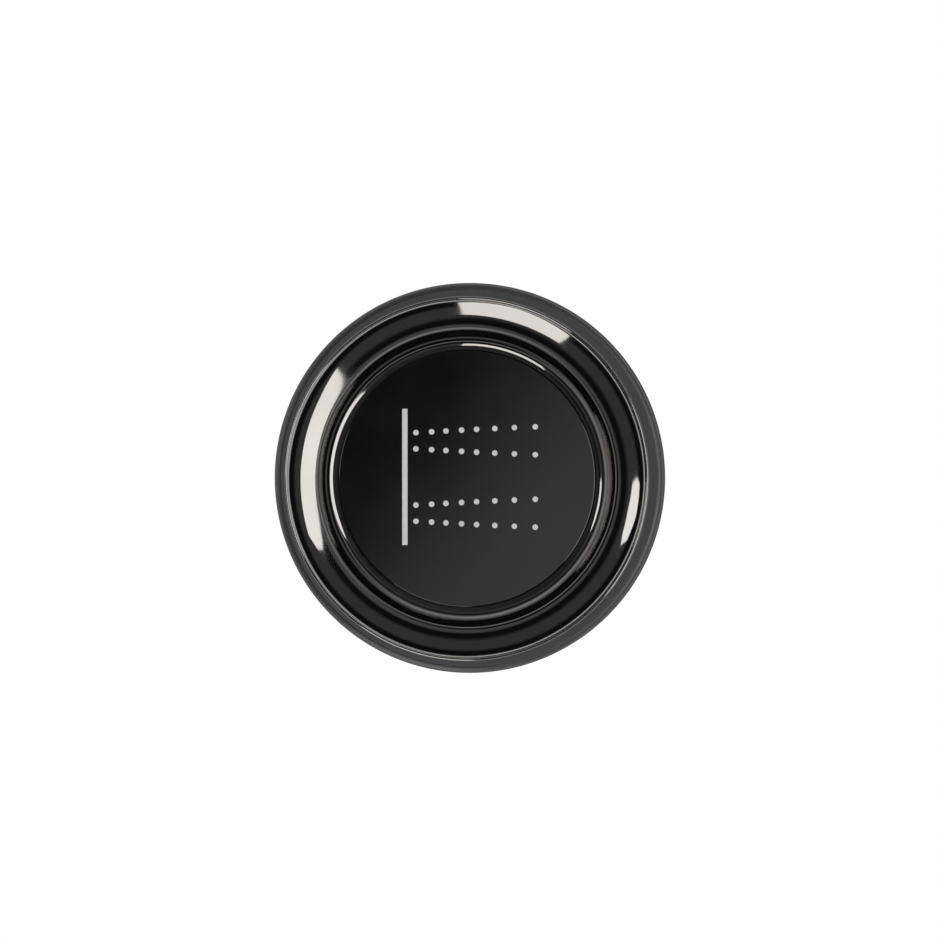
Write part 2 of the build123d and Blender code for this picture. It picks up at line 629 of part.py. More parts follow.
# Flow spindle: a splined cup round the latch, and a tube whose rear end carries the lead thread
spindle_ring_floor = neck_bore - SPINDLE_RING_WIRE - 2 * SEAL_FIT
spindle_ring_span = (neck_front - slot_depth + barrel_front) / 2
spindle_ring_middles = (spindle_ring_span + 2 * SPINDLE_RING_WIRE, spindle_ring_span - 2 * SPINDLE_RING_WIRE)
spindle_clip_front = spindle_clip_rear + CLIP_THICKNESS
lug_line = CenterArc((0, 0), lug_middle, UP - LUG_ANGLE / 2, LUG_ANGLE)
with BuildPart() as flow_spindle:
    with BuildSketch(PROFILE):
        band(CUP_RADIUS, cup_outer, cup_rear, cup_front)
        band(TUBE_BORE, cup_outer, cup_rear, cup_rear + CUP_FLOOR)
        band(TUBE_BORE, tube_outer, spindle_rear, cup_rear)
        band(cup_outer - CLIP_BITE, cup_outer, clip_front - CLIP_THICKNESS, clip_front, mode=Mode.SUBTRACT)
        band(tube_outer - CLIP_BITE, tube_outer, spindle_clip_rear, spindle_clip_front, mode=Mode.SUBTRACT)
        for ring_middle in spindle_ring_middles:
            ring_groove(spindle_ring_floor, tube_outer, SPINDLE_RING_WIRE, ring_middle)
    revolve(axis=Axis.Y)
    with BuildSketch(facing(carrier_rear)):
        spokes(cup_outer - CLIP_BITE, spline_outer, SPLINE_WIDTH, SPLINE_COUNT)
    extrude(amount=hub_front - carrier_rear)
    with BuildSketch(facing(cup_rear)):
        SlotArc(lug_line, LUG_WIDTH)
    extrude(amount=-LUG_HEIGHT)
flow_spindle.part.label = "flow_spindle"
export_step(flow_spindle.part, "parts/flow_spindle.step")

with BuildPart() as spindle_o_rings:
    with BuildSketch(PROFILE):
        for ring_middle in spindle_ring_middles:
            round_ring(spindle_ring_floor, SPINDLE_RING_WIRE, ring_middle)
    revolve(axis=Axis.Y)
spindle_o_rings.part.label = "spindle_o_rings"
export_step(spindle_o_rings.part, "parts/spindle_o_rings.step")

# Two open clips: one holds the carrier on the spindle, the other holds the spindle in the housing
with BuildPart() as carrier_clip:
    with BuildSketch(facing(clip_front - CLIP_THICKNESS)):
        Circle(cup_outer + CLIP_REACH)
        Circle(cup_outer - CLIP_BITE, mode=Mode.SUBTRACT)
        spokes(CUP_RADIUS, cup_outer + 2 * CLIP_REACH, CLIP_OPENING, 1, DOWN, mode=Mode.SUBTRACT)
    extrude(amount=CLIP_THICKNESS)
carrier_clip.part.label = "carrier_clip"
export_step(carrier_clip.part, "parts/carrier_clip.step")

with BuildPart() as spindle_clip:
    with BuildSketch(facing(spindle_clip_rear)):
        Circle(tube_outer + CLIP_REACH)
        Circle(tube_outer - CLIP_BITE, mode=Mode.SUBTRACT)
        spokes(TUBE_BORE, tube_outer + 2 * CLIP_REACH, CLIP_OPENING, 1, DOWN, mode=Mode.SUBTRACT)
    extrude(amount=CLIP_THICKNESS)
spindle_clip.part.label = "spindle_clip"
export_step(spindle_clip.part, "parts/spindle_clip.step")


# ---- Throttle: slides along the barrel as the spindle turns ----

throttle_bore = tube_outer + RUNNING
throttle_radius = BARREL_BORE - SLIDING
throttle_inner = throttle_radius - THROTTLE_WALL
throttle_hub = throttle_bore + THROTTLE_HUB_WALL
with BuildPart() as throttle_sleeve:
    with BuildSketch(PROFILE):
        band(throttle_bore, throttle_hub, throttle_front - THROTTLE_HUB, throttle_front)
        band(throttle_bore, throttle_radius, throttle_front - THROTTLE_WEB, throttle_front)
        band(throttle_inner, throttle_radius, throttle_rear, throttle_front)
    revolve(axis=Axis.Y)
    with BuildSketch(facing(throttle_front)):
        with PolarLocations((throttle_hub + throttle_inner) / 2, VENT_COUNT, start_angle=180 / VENT_COUNT):
            Circle(VENT_RADIUS)
    extrude(amount=-THROTTLE_WEB, mode=Mode.SUBTRACT)
    with BuildSketch(facing(throttle_front)):
        spokes(throttle_inner + LOOSE, BARREL_BORE + KEY_HEIGHT, KEY_WIDTH, 2)
    extrude(amount=-KEY_LENGTH)
throttle_sleeve.part.label = "throttle_sleeve"
export_step(throttle_sleeve.part, "parts/throttle_sleeve.step")


# ---- Button: everything that moves in and out ----

def symbol():
    """Body-spray symbol: an upright bar and two widening jets, each of two dotted rows."""
    with Locations((BAR_X, SYMBOL_Z)):
        Rectangle(BAR_WIDTH, BAR_LENGTH)
    for jet in (-1, 1):
        for row in (-1, 1):
            for dot in range(len(DOT_GAPS) + 1):
                across = DOT_FIRST_X + sum(DOT_GAPS[:dot])
                spread = (JET_HALF_END - JET_HALF_START) * dot / len(DOT_GAPS)
                with Locations((across, SYMBOL_Z + jet * JET_HEIGHT + row * (JET_HALF_START + spread))):
                    Circle(DOT_RADIUS)


with BuildPart() as button_face:
    with BuildSketch(facing(face_rear)):
        Circle(FACE_RADIUS)
    extrude(amount=FACE_THICKNESS)
    fillet(button_face.edges().filter_by(GeomType.CIRCLE).sort_by(Axis.Y)[0], radius=FACE_EDGE)
    with BuildSketch(facing(face_front)):
        symbol()
    extrude(amount=-PRINT_DEPTH, mode=Mode.SUBTRACT)
button_face.part.label = "button_face"
export_step(button_face.part, "parts/button_face.step")

with BuildPart() as pictogram:
    with BuildSketch(facing(face_front)):
        symbol()
    extrude(amount=-PRINT_DEPTH)
pictogram.part.label = "pictogram"
export_step(pictogram.part, "parts/pictogram.step")

pad_radius = FACE_RADIUS - PAD_MARGIN
pad_rear = face_rear - PAD_THICKNESS
with BuildPart() as face_pad:
    with BuildSketch(facing(pad_rear)):
        Circle(pad_radius)
    extrude(amount=PAD_THICKNESS)
face_pad.part.label = "face_pad"
export_step(face_pad.part, "parts/face_pad.step")

# Button cap: a skirted cup stiffened by ribs, with a boss that takes the push rod
skirt_inner = FACE_RADIUS - SKIRT_WALL
boss_outer = ROD_RADIUS + BOSS_WALL
with BuildPart() as button_cap:
    with BuildSketch(PROFILE):
        band(0, FACE_RADIUS, plate_rear, face_rear)
        band(0, pad_radius, pad_rear, face_rear, mode=Mode.SUBTRACT)
        band(skirt_inner, FACE_RADIUS, skirt_foot, plate_rear)
        band(ROD_RADIUS, boss_outer, boss_foot, plate_rear)
        band(0, boss_outer, rod_front, plate_rear)
    revolve(axis=Axis.Y)
    with BuildSketch(facing(plate_rear)):
        spokes(boss_outer - LOOSE, skirt_inner + LOOSE, CAP_RIB_WIDTH, CAP_RIBS)
    extrude(amount=-CAP_RIB_HEIGHT)
    with BuildSketch(facing(pad_rear)):
        Circle(SCREW_HEAD_RADIUS + RUNNING)
    extrude(amount=-screw_taper, taper=COUNTERSINK, mode=Mode.SUBTRACT)
    with BuildSketch(facing(pad_rear)):
        Circle(SCREW_RADIUS + RUNNING)
    extrude(amount=rod_front - pad_rear, mode=Mode.SUBTRACT)
button_cap.part.label = "button_cap"
export_step(button_cap.part, "parts/button_cap.step")

with BuildPart() as cap_screw:
    with BuildSketch(facing(pad_rear)):
        Circle(SCREW_HEAD_RADIUS)
    extrude(amount=-screw_taper, taper=COUNTERSINK)
    with BuildSketch(facing(rod_front - CAP_SCREW_GRIP)):
        Circle(SCREW_RADIUS)
    extrude(amount=pad_rear - screw_taper - rod_front + CAP_SCREW_GRIP)
    with BuildSketch(facing(pad_rear)):
        RegularPolygon(SOCKET_ACROSS_FLATS / 2, 6, major_radius=False)
    extrude(amount=-SOCKET_DEPTH, mode=Mode.SUBTRACT)
cap_screw.part.label = "cap_screw"
export_step(cap_screw.part, "parts/cap_screw.step")

# Push rod: tapped in front for the cap's screw, grooved for its O-ring, with a stub for the poppet
rod_ring_floor = guide_tube_bore - ROD_RING_WIRE - 2 * SEAL_FIT
rod_ring_middle = guide_tube_rear + BUTTON_TRAVEL + 2 * ROD_RING_WIRE
with BuildPart() as push_rod:
    with BuildSketch(PROFILE):
        band(0, ROD_RADIUS, poppet_front, rod_front)
        band(0, ROD_STUB, rod_rear, poppet_front)
        band(0, SCREW_RADIUS, rod_front - CAP_SCREW_GRIP - LOOSE, rod_front, mode=Mode.SUBTRACT)
        ring_groove(rod_ring_floor, ROD_RADIUS, ROD_RING_WIRE, rod_ring_middle)
    revolve(axis=Axis.Y)
push_rod.part.label = "push_rod"
export_step(push_rod.part, "parts/push_rod.step")

with BuildPart() as rod_o_ring:
    with BuildSketch(PROFILE):
        round_ring(rod_ring_floor, ROD_RING_WIRE, rod_ring_middle)
    revolve(axis=Axis.Y)
rod_o_ring.part.label = "rod_o_ring"
export_step(rod_o_ring.part, "parts/rod_o_ring.step")

# Latch pusher and rotor: two lugged collars on the rod, their lugs between the guide's ribs
with BuildPart() as latch_pusher:
    with BuildSketch(facing(pusher_rear)):
        Circle(latch_ring_outer)
        spokes(ROD_RADIUS + LOOSE, latch_lug_outer, LATCH_LUG_WIDTH, RIB_COUNT)
        Circle(ROD_RADIUS, mode=Mode.SUBTRACT)
    extrude(amount=PUSHER_LENGTH)
latch_pusher.part.label = "latch_pusher"
export_step(latch_pusher.part, "parts/latch_pusher.step")

with BuildPart() as latch_rotor:
    with BuildSketch(facing(rotor_rear)):
        Circle(latch_ring_outer)
        spokes(ROD_RADIUS + LOOSE, latch_lug_outer, LATCH_LUG_WIDTH, RIB_COUNT)
        Circle(ROD_RADIUS + SLIDING, mode=Mode.SUBTRACT)
    extrude(amount=ROTOR_LENGTH)
latch_rotor.part.label = "latch_rotor"
export_step(latch_rotor.part, "parts/latch_rotor.step")

# Return spring: between the latch guide's floor and the rotor
spring_radius = (ROD_RADIUS + guide_bore) / 2
spring_start = guide_floor + SPRING_WIRE / 2 + RUNNING
spring_length = rotor_rear - guide_floor - SPRING_WIRE - 2 * RUNNING
with BuildPart() as return_spring:
    with BuildLine():
        pitch = spring_length / SPRING_TURNS
        coil = Helix(pitch, spring_length, spring_radius, (0, -spring_start, 0), (0, -1, 0))
    with BuildSketch(Plane(origin=coil @ 0, z_dir=coil % 0)):
        Circle(SPRING_WIRE / 2)
    sweep(path=coil, is_frenet=True)
return_spring.part.label = "return_spring"
export_step(return_spring.part, "parts/return_spring.step")

# Poppet, its rubber seal and its nut: closed against the seat from behind, opened by pushing in
with BuildPart() as poppet:
    with BuildSketch(PROFILE):
        band(ROD_STUB, seal_outer + POPPET_RIM, poppet_rear, poppet_front)
    revolve(axis=Axis.Y)
poppet.part.label = "poppet"
export_step(poppet.part, "parts/poppet.step")

with BuildPart() as poppet_seal:
    with BuildSketch(PROFILE):
        band(ROD_RADIUS, seal_outer, poppet_front, seal_front)
    revolve(axis=Axis.Y)
poppet_seal.part.label = "poppet_seal"
export_step(poppet_seal.part, "parts/poppet_seal.step")

with BuildPart() as poppet_nut:
    with BuildSketch(facing(rod_rear)):
        RegularPolygon(POPPET_NUT_FLATS / 2, 6, major_radius=False)
        Circle(ROD_STUB, mode=Mode.SUBTRACT)
    extrude(amount=POPPET_NUT_LENGTH)
poppet_nut.part.label = "poppet_nut"
export_step(poppet_nut.part, "parts/poppet_nut.step")
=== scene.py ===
import math

import bpy
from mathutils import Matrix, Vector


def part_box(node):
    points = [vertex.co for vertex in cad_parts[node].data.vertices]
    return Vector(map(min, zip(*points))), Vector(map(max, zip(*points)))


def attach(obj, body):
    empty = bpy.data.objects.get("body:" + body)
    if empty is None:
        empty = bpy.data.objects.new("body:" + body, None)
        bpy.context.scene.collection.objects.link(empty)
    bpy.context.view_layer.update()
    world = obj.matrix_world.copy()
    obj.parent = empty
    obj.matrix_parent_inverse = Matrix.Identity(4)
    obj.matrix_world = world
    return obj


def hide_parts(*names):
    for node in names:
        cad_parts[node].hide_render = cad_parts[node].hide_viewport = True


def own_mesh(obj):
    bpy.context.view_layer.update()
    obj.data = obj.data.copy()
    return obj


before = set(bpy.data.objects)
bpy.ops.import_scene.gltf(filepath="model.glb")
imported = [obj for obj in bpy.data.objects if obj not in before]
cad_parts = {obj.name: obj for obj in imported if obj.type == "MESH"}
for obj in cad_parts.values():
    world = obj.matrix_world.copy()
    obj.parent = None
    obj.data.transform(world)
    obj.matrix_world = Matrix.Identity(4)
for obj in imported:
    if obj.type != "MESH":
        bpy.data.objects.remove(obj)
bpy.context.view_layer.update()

# The valve stands out from the wall along -Y and is fixed at the plane Y = 0, with +Z up.
# Sizes are written in millimetres along the axis as stand-offs from the wall, and made with MM.
MM = 0.001


# ---- Wall gasket ----
# A soft ring of closed-cell foam, die cut from sheet and stuck in the flange's rear groove.
# It keeps water out of the wall.

def add_group(name, inputs, outputs):
    """An empty shader group with these input values and output kinds, and its two end nodes."""
    group = bpy.data.node_groups.new(name, "ShaderNodeTree")
    for socket, kind, value in inputs:
        made = group.interface.new_socket(socket, in_out="INPUT", socket_type=kind)
        made.default_value = value
    for socket, kind in outputs:
        group.interface.new_socket(socket, in_out="OUTPUT", socket_type=kind)
    nodes = group.nodes
    return group, nodes, nodes.new("NodeGroupInput"), nodes.new("NodeGroupOutput")


def make_drift():
    """Slow cloudy change of colour and gloss over a surface, as every real batch and handled piece has."""
    group, nodes, given, out = add_group(
        "surface_drift",
        [("Colour", "NodeSocketColor", (0.5, 0.5, 0.5, 1)), ("Second", "NodeSocketColor", (0.4, 0.4, 0.4, 1)),
         ("Patch", "NodeSocketFloat", 200.0), ("Rough", "NodeSocketFloat", 0.4),
         ("Rougher", "NodeSocketFloat", 0.5)],
        [("Colour", "NodeSocketColor"), ("Roughness", "NodeSocketFloat")],
    )
    place = nodes.new("ShaderNodeTexCoord")
    cloud = nodes.new("ShaderNodeTexNoise")
    cloud.inputs["Detail"].default_value = 5.0
    cloud.inputs["Roughness"].default_value = 0.6
    spread = nodes.new("ShaderNodeMapRange")
    spread.inputs["From Min"].default_value = 0.35
    spread.inputs["From Max"].default_value = 0.65
    blend = nodes.new("ShaderNodeMix")
    blend.data_type = "RGBA"
    gloss = nodes.new("ShaderNodeMix")
    join = group.links.new
    join(place.outputs["Object"], cloud.inputs["Vector"])
    join(given.outputs["Patch"], cloud.inputs["Scale"])
    join(cloud.outputs["Fac"], spread.inputs["Value"])
    join(spread.outputs["Result"], blend.inputs["Factor"])
    join(given.outputs["Colour"], blend.inputs["A"])
    join(given.outputs["Second"], blend.inputs["B"])
    join(spread.outputs["Result"], gloss.inputs["Factor"])
    join(given.outputs["Rough"], gloss.inputs["A"])
    join(given.outputs["Rougher"], gloss.inputs["B"])
    join(blend.outputs["Result"], out.inputs["Colour"])
    join(gloss.outputs["Result"], out.inputs["Roughness"])
    return group


def make_grain():
    """Fine even grain, such as paint texture, moulding skin or rubber bloom."""
    group, nodes, given, out = add_group(
        "fine_grain", [("Scale", "NodeSocketFloat", 5000.0)], [("Height", "NodeSocketFloat")]
    )
    place = nodes.new("ShaderNodeTexCoord")
    speck = nodes.new("ShaderNodeTexNoise")
    speck.inputs["Detail"].default_value = 3.0
    group.links.new(place.outputs["Object"], speck.inputs["Vector"])
    group.links.new(given.outputs["Scale"], speck.inputs["Scale"])
    group.links.new(speck.outputs["Fac"], out.inputs["Height"])
    return group


def make_turning():
    """The fine rings a lathe tool leaves round the valve's axis, on cylinders and end faces alike."""
    group, nodes, given, out = add_group(
        "turning_rings", [("Scale", "NodeSocketFloat", 6000.0)], [("Height", "NodeSocketFloat")]
    )
    place = nodes.new("ShaderNodeTexCoord")
    apart = nodes.new("ShaderNodeSeparateXYZ")
    flat = nodes.new("ShaderNodeCombineXYZ")
    radius = nodes.new("ShaderNodeVectorMath")
    radius.operation = "LENGTH"
    ringed = nodes.new("ShaderNodeCombineXYZ")
    rings = nodes.new("ShaderNodeTexNoise")
    rings.inputs["Detail"].default_value = 2.0
    join = group.links.new
    join(place.outputs["Object"], apart.inputs["Vector"])
    join(apart.outputs["X"], flat.inputs["X"])
    join(apart.outputs["Z"], flat.inputs["Z"])
    join(flat.outputs["Vector"], radius.inputs[0])
    join(radius.outputs["Value"], ringed.inputs["X"])
    join(apart.outputs["Y"], ringed.inputs["Y"])
    join(ringed.outputs["Vector"], rings.inputs["Vector"])
    join(given.outputs["Scale"], rings.inputs["Scale"])
    join(rings.outputs["Fac"], out.inputs["Height"])
    return group


surface_drift = make_drift()
fine_grain = make_grain()
turning_rings = make_turning()


def finish(name, colour, second, rough, rougher, patch=180.0, relief=fine_grain, scale=5000.0,
           depth=0.05, **sockets):
    """A material of this colour and gloss that drifts a little, with a fine relief; sockets sets the rest."""
    made = bpy.data.materials.new(name)
    made.use_nodes = True
    nodes, join = made.node_tree.nodes, made.node_tree.links.new
    shader = nodes["Principled BSDF"]
    drift = nodes.new("ShaderNodeGroup")
    drift.node_tree = surface_drift
    drift.inputs["Colour"].default_value = (*colour, 1)
    drift.inputs["Second"].default_value = (*second, 1)
    drift.inputs["Patch"].default_value = patch
    drift.inputs["Rough"].default_value = rough
    drift.inputs["Rougher"].default_value = rougher
    marks = nodes.new("ShaderNodeGroup")
    marks.node_tree = relief
    marks.inputs["Scale"].default_value = scale
    bump = nodes.new("ShaderNodeBump")
    bump.inputs["Strength"].default_value = depth
    bump.inputs["Distance"].default_value = 0.05 * MM
    join(drift.outputs["Colour"], shader.inputs["Base Color"])
    join(drift.outputs["Roughness"], shader.inputs["Roughness"])
    join(marks.outputs["Height"], bump.inputs["Height"])
    join(bump.outputs["Normal"], shader.inputs["Normal"])
    for socket, value in sockets.items():
        shader.inputs[socket.replace("_", " ")].default_value = value
    return made


def dress(material, *nodes):
    """Gives these carried-over pieces this material."""
    for node in nodes:
        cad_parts[node].material_slots[0].material = material


foam = finish("closed_cell_foam", (0.03, 0.03, 0.032), (0.05, 0.05, 0.052), 0.85, 0.95,
              patch=900.0, scale=1800.0, depth=0.8)
dress(foam, "wall_gasket")


# ---- Wall flange ----
# A shallow pressed tray with a rounded rim, painted satin black like the grip.
# It slides onto the fixed sleeve and is held to the wall by its gasket and O-ring.

def turned(name, corners, material, sides=192):
    """A piece spun about the valve's axis from a half section.

    Each corner is (radius, stand-off) or (radius, stand-off, rounding, steps in the rounding)."""
    bpy.ops.object.select_all(action="DESELECT")
    radius, stand_off = corners[0][:2]
    bpy.ops.mesh.primitive_plane_add(size=MM, location=(radius * MM, -stand_off * MM, 0))
    piece = bpy.context.object
    piece.name = piece.data.name = name
    bpy.ops.object.transform_apply(location=True, rotation=True, scale=True)
    bpy.ops.object.mode_set(mode="EDIT")
    bpy.ops.mesh.select_all(action="SELECT")
    bpy.ops.mesh.merge(type="CENTER")
    for corner in corners[1:]:
        step = ((corner[0] - radius) * MM, (stand_off - corner[1]) * MM, 0)
        bpy.ops.mesh.extrude_region_move(TRANSFORM_OT_translate={"value": step})
        radius, stand_off = corner[:2]
    on_axis = corners[0][0] == 0
    if not on_axis:
        bpy.ops.object.mode_set(mode="OBJECT")
        for index in (0, len(corners) - 1):
            piece.data.vertices[index].select = True
        bpy.ops.object.mode_set(mode="EDIT")
        bpy.ops.mesh.edge_face_add()
    for corner in corners:
        if len(corner) > 2:
            bpy.ops.mesh.select_all(action="DESELECT")
            bpy.ops.object.mode_set(mode="OBJECT")
            for vertex in piece.data.vertices:
                gap = math.dist(vertex.co[:2], (corner[0] * MM, -corner[1] * MM))
                vertex.select = gap < 0.001 * MM
            bpy.ops.object.mode_set(mode="EDIT")
            steps = corner[3] if len(corner) > 3 else 4
            bpy.ops.mesh.bevel(offset=corner[2] * MM, segments=steps, affect="VERTICES")
    bpy.ops.mesh.select_all(action="SELECT")
    bpy.ops.mesh.remove_doubles(threshold=0.001 * MM)
    bpy.ops.mesh.select_all(action="SELECT")
    bpy.ops.mesh.spin(steps=sides, angle=math.tau, center=(0, 0, 0), axis=(0, 1, 0))
    bpy.ops.mesh.select_all(action="SELECT")
    bpy.ops.mesh.remove_doubles(threshold=0.001 * MM)
    bpy.ops.mesh.normals_make_consistent(inside=False)
    bpy.ops.object.mode_set(mode="OBJECT")
    bpy.ops.object.shade_smooth_by_angle(angle=math.radians(32))
    even = piece.modifiers.new("even_normals", "WEIGHTED_NORMAL")
    even.keep_sharp = True
    bpy.ops.object.modifier_apply(modifier=even.name)
    piece.data.materials.append(material)
    return piece


def reach(node):
    """A node's largest radius and its rear and front stand-offs, in millimetres."""
    low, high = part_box(node)
    return high.x / MM, -high.y / MM, -low.y / MM


satin_black = finish("satin_black_paint", (0.050, 0.051, 0.055), (0.057, 0.058, 0.062), 0.36, 0.42,
                     patch=120.0, scale=9000.0, depth=0.10, Specular_IOR_Level=0.9)
FLANGE_BORE, GROOVE_INNER, GROOVE_OUTER = 20.2, 24.5, 27.5
GASKET_DEPTH, TRAY_FLOOR, RIM_WIDTH = 1.2, 2, 2.8
rim_radius, _, rim_front = reach("wall_flange")
rim_inner = rim_radius - RIM_WIDTH
wall_flange = turned("satin_wall_flange", [
    (FLANGE_BORE, 0, 0.12), (GROOVE_INNER, 0, 0.05), (GROOVE_INNER, GASKET_DEPTH, 0.1),
    (GROOVE_OUTER, GASKET_DEPTH, 0.1), (GROOVE_OUTER, 0, 0.05), (rim_radius, 0, 0.15),
    (rim_radius, rim_front, 1.0, 16), (rim_inner, rim_front, 0.35, 6),
    (rim_inner, TRAY_FLOOR, 0.5, 6), (FLANGE_BORE, TRAY_FLOOR, 0.2),
], satin_black)
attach(wall_flange, "wall_side")
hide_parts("wall_flange")


# ---- Fixed sleeve and its O-ring ----
# A brass collar turned on a lathe: the flange slides on its front, sealed by a rubber ring,
# and its tail is screwed onto the clamp nut.

brass = finish("turned_brass", (0.66, 0.47, 0.21), (0.58, 0.39, 0.16), 0.22, 0.34, patch=90.0,
               relief=turning_rings, scale=9000.0, depth=0.25, Metallic=1.0)
rubber = finish("seal_rubber", (0.012, 0.012, 0.013), (0.020, 0.020, 0.020), 0.42, 0.58,
                patch=300.0, scale=7000.0, depth=0.12)
TAIL_BORE, TAIL_RADIUS, COLLAR_BORE, COLLAR_REAR, SHOULDER = 14.5, 17.5, 16.8, -3, -1.8
SEAL_FLOOR, SEAL_REAR, SEAL_FRONT = 18.7, 0.07, 1.93
sleeve_radius, tail_rear, collar_front = reach("fixed_sleeve")
fixed_sleeve = turned("brass_fixed_sleeve", [
    (TAIL_BORE, tail_rear, 0.4), (TAIL_RADIUS, tail_rear, 0.4), (TAIL_RADIUS, COLLAR_REAR, 0.15),
    (sleeve_radius, COLLAR_REAR, 0.3), (sleeve_radius, SEAL_REAR, 0.08), (SEAL_FLOOR, SEAL_REAR, 0.1),
    (SEAL_FLOOR, SEAL_FRONT, 0.1), (sleeve_radius, SEAL_FRONT, 0.08), (sleeve_radius, collar_front, 0.3),
    (COLLAR_BORE, collar_front, 0.3), (COLLAR_BORE, SHOULDER, 0.2), (TAIL_BORE, SHOULDER, 0.2),
], brass)
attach(fixed_sleeve, "wall_side")
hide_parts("fixed_sleeve")
dress(rubber, "flange_o_ring")


# ---- Thrust washer ----
# A thin disc of white acetal that lies on the sleeve's face, under the turning carrier.

acetal = finish("white_acetal", (0.74, 0.73, 0.70), (0.69, 0.68, 0.65), 0.34, 0.44, patch=150.0,
                scale=4000.0, depth=0.06, Subsurface_Weight=0.08, Subsurface_Scale=0.5 * MM)
dress(acetal, "thrust_washer")


# ---- Clamp nut ----
# A hexagon nut turned and milled from brass bar. Its rear thread screws into the valve body
# in the wall and clamps the cartridge; the fixed sleeve screws onto its front.

def helix(name, section, lead, turns, steps, material):
    """A bar of this section swept round the axis, from its stand-off rearwards. The section is
    (mean radius, stand-off, radial size, width at the root, width at the crest)."""
    bpy.ops.object.select_all(action="DESELECT")
    radius, stand_off, high, root, crest = section
    bpy.ops.mesh.primitive_plane_add(size=1, location=(radius * MM, -stand_off * MM, 0))
    bar = bpy.context.object
    bar.name = bar.data.name = name
    bar.scale = (high * MM, root * MM, 1)
    bpy.ops.object.transform_apply(location=True, rotation=True, scale=True)
    for vertex in bar.data.vertices:
        vertex.select = vertex.co.x > radius * MM
    for edge in bar.data.edges:
        edge.select = all(bar.data.vertices[i].select for i in edge.vertices)
    bar.data.polygons[0].select = False
    bpy.ops.object.mode_set(mode="EDIT")
    bpy.ops.transform.resize(value=(1, crest / root, 1))
    bpy.ops.mesh.select_all(action="SELECT")
    bpy.ops.mesh.delete(type="ONLY_FACE")
    bpy.ops.object.mode_set(mode="OBJECT")
    sweep = bar.modifiers.new("sweep", "SCREW")
    sweep.axis = "Y"
    sweep.screw_offset = lead * MM
    sweep.iterations = turns
    sweep.steps = sweep.render_steps = steps
    bpy.ops.object.modifier_apply(modifier=sweep.name)
    bpy.ops.object.mode_set(mode="EDIT")
    bpy.ops.mesh.select_all(action="SELECT")
    bpy.ops.mesh.fill_holes(sides=0)
    bpy.ops.mesh.select_all(action="SELECT")
    bpy.ops.mesh.normals_make_consistent(inside=False)
    bpy.ops.object.mode_set(mode="OBJECT")
    bar.data.materials.append(material)
    return bar


def trim(piece, other):
    """Keeps what of the piece lies inside the other one, which is then deleted."""
    bpy.ops.object.select_all(action="DESELECT")
    piece.select_set(True)
    bpy.context.view_layer.objects.active = piece
    shape = piece.modifiers.new("trim", "BOOLEAN")
    shape.operation = "INTERSECT"
    shape.solver = "EXACT"
    shape.object = other
    bpy.ops.object.modifier_apply(modifier=shape.name)
    bpy.data.objects.remove(other)


def weld(name, *parts):
    """Makes one object of these parts."""
    bpy.ops.object.select_all(action="DESELECT")
    for part in parts:
        part.select_set(True)
    bpy.context.view_layer.objects.active = parts[0]
    bpy.ops.object.join()
    parts[0].name = parts[0].data.name = name
    return parts[0]


THREAD_PITCH, THREAD_CREST, THREAD_ROOT, THREAD_END = 1.5, 14.5, 13.7, -12.5
NUT_BORE, NECK_RADIUS, BODY_RADIUS, FRONT_RADIUS = 9.8, 13.3, 13.75, 13.9
HEX_REAR, HEX_FRONT, HEX_HALF_WIDTH = -12, -9, 16
HEX_BORE, HEX_FACE, HEX_CORNER = 11.0, 15.9, 18.7
_, nut_rear, nut_front = reach("clamp_nut")
nut_core = turned("nut_core", [
    (NUT_BORE, nut_rear, 0.3), (NECK_RADIUS, nut_rear, 0.3), (BODY_RADIUS, nut_rear + 0.6),
    (BODY_RADIUS, -12.9, 0.3), (NECK_RADIUS, -12.7, 0.1), (NECK_RADIUS, -12.05),
    (NECK_RADIUS, HEX_FRONT, 0.1), (FRONT_RADIUS, -8.6), (FRONT_RADIUS, nut_front, 0.4),
    (NUT_BORE, nut_front, 0.3),
], brass, sides=128)
hexagon = turned("nut_hexagon", [
    (HEX_BORE, HEX_REAR, 0.1), (HEX_FACE, HEX_REAR, 0.1), (HEX_CORNER, -10.9), (HEX_CORNER, -10.1),
    (HEX_FACE, HEX_FRONT, 0.1), (HEX_BORE, HEX_FRONT, 0.1),
], brass, sides=96)
# The corners point up and down, 30 degrees round from the CAD's, within the same round reach.
bpy.ops.object.select_all(action="DESELECT")
bpy.ops.mesh.primitive_cylinder_add(
    vertices=6, radius=HEX_HALF_WIDTH * MM / math.cos(math.pi / 6), depth=8 * MM,
    location=(0, 10.5 * MM, 0), rotation=(math.pi / 2, 0, 0),
)
trim(hexagon, bpy.context.object)
thread = helix("nut_thread", (14.1, -12.2, 0.8, 1.3, 0.25), THREAD_PITCH, 8, 96, brass)
thread_blank = turned("thread_blank", [
    (13.6, nut_rear + 0.02), (THREAD_ROOT, nut_rear + 0.02), (THREAD_CREST, nut_rear + 0.9),
    (THREAD_CREST, -12.9), (THREAD_ROOT, THREAD_END), (13.6, THREAD_END),
], brass, sides=96)
trim(thread, thread_blank)
clamp_nut = weld("brass_clamp_nut", nut_core, hexagon, thread)
bpy.ops.object.shade_smooth_by_angle(angle=math.radians(25))
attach(clamp_nut, "wall_side")
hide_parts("clamp_nut")


# ---- Cartridge housing, nose, seat and latch guide ----
# Injection mouldings of grey glass-filled plastic and white acetal, pressed together in line,
# with moulding skin and flow marks. Rubber rings seal them in the valve body.

